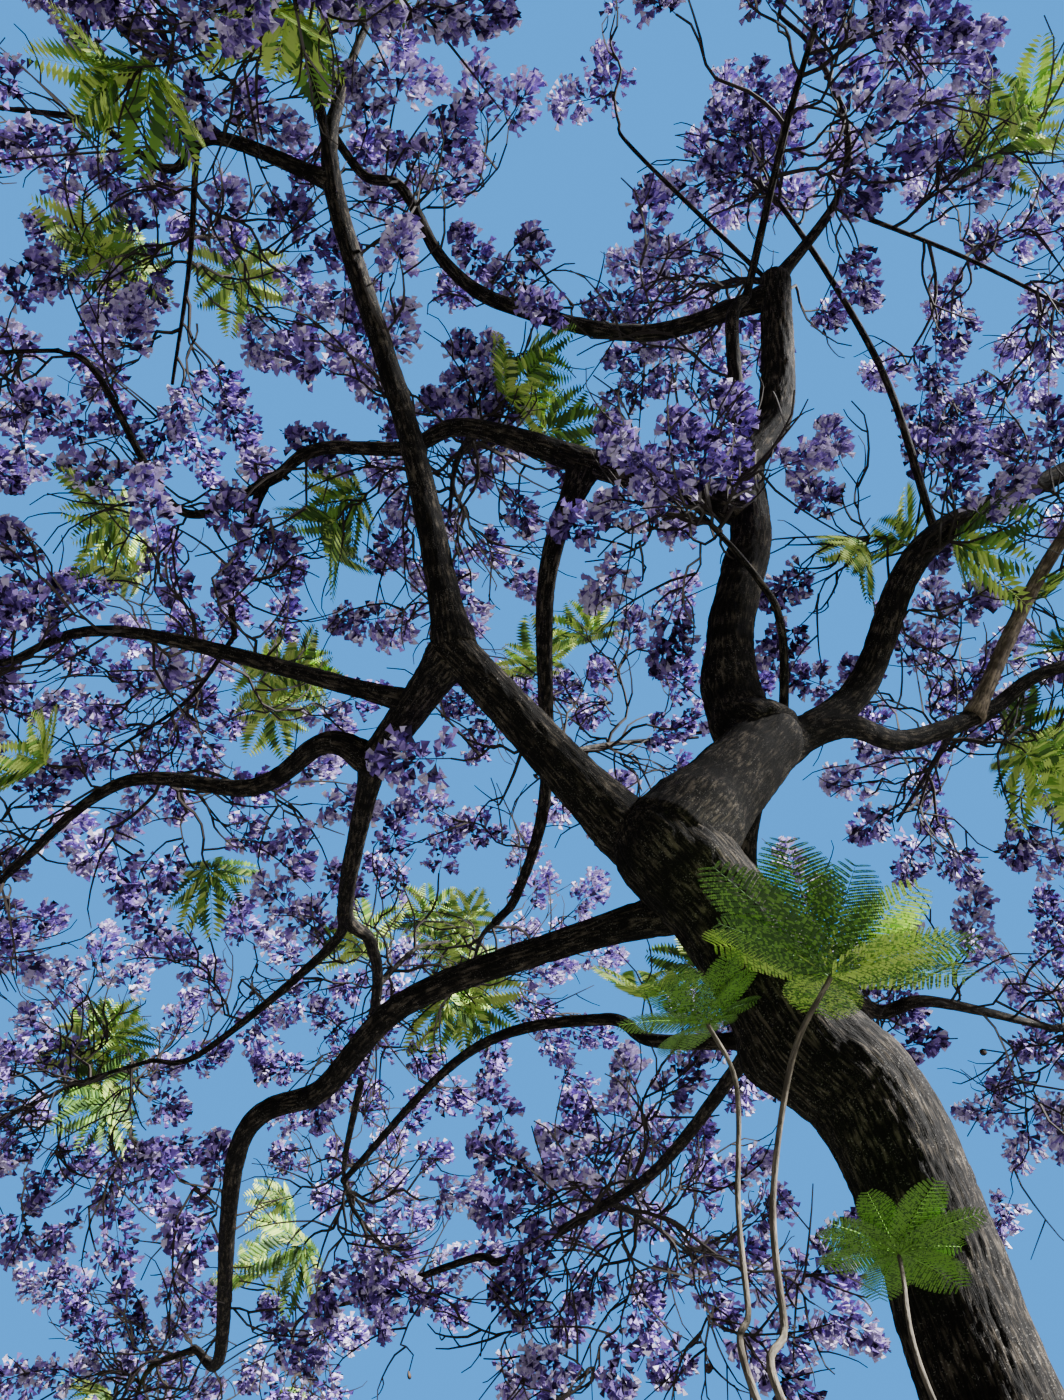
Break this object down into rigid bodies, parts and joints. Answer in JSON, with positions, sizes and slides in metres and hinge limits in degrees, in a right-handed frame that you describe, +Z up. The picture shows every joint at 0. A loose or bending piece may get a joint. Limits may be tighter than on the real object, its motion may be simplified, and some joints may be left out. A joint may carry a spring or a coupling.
{
  "type": "jacaranda tree",
  "caption": "Blossoming jacaranda tree with a leaning trunk, long sinuous boughs and an open dome of lilac sprays and ferny leaves.",
  "frame": {"origin": "middle of the flat cut under the trunk, at ground level", "axes": "+Z up, -Y the front of the tree, towards which its trunk leans, +Y its back, -X its left and +X its right"},
  "size_m": [13.121, 13.0145, 11.2454],
  "materials": {
    "bark": "rough, finely fissured",
    "pale_bark": "rough",
    "blossom": "soft, matte",
    "leaf": "satin"
  },
  "bodies": {
    "root": {"back_left_arm": "bark", "back_left_bough": "bark", "back_right_bough": "bark", "bough_left": "bark", "bough_right": "bark", "front_left_arm": "bark", "leader_twist": "bark", "left_arm": "bark", "left_bow": "bark", "left_elbow": "bark", "left_leader": "bark", "low_back_bough": "bark", "mass_back": "blossom", "mass_back_high": "blossom", "mass_back_left": "blossom", "mass_back_left_outer": "blossom", "mass_back_left_over": "blossom", "mass_back_low": "blossom", "mass_back_right": "blossom", "mass_centre": "blossom", "mass_centre_back": "blossom", "mass_front": "blossom", "mass_front_high": "blossom", "mass_front_left": "blossom", "mass_front_left_side": "blossom", "mass_front_low": "blossom", "mass_front_right": "blossom", "mass_front_right_high": "blossom", "mass_front_right_low": "blossom", "mass_left": "blossom", "mass_left_back_high": "blossom", "mass_left_high": "blossom", "mass_left_outer": "blossom", "mass_left_over": "blossom", "mass_low_back_left": "blossom", "mass_right": "blossom", "mass_right_back": "blossom", "mass_right_high": "blossom", "mass_right_low": "blossom", "mass_top": "blossom", "mass_under_back": "blossom", "mass_under_left": "blossom", "middle_arm": "bark", "middle_back_arm": "bark", "middle_spur": "bark", "right_arm": "bark", "right_leader": "bark", "right_low_arm": "bark", "right_pale_arm": "pale_bark", "rod_middle": "blossom", "rod_right": "blossom", "rod_top": "blossom", "sucker_left": "leaf", "sucker_low": "leaf", "sucker_tall": "leaf", "top_arm": "bark", "top_right_arm": "bark", "trunk": "bark", "under_back_limb": "bark", "under_left_limb": "bark"}
  },
  "joints": []
}
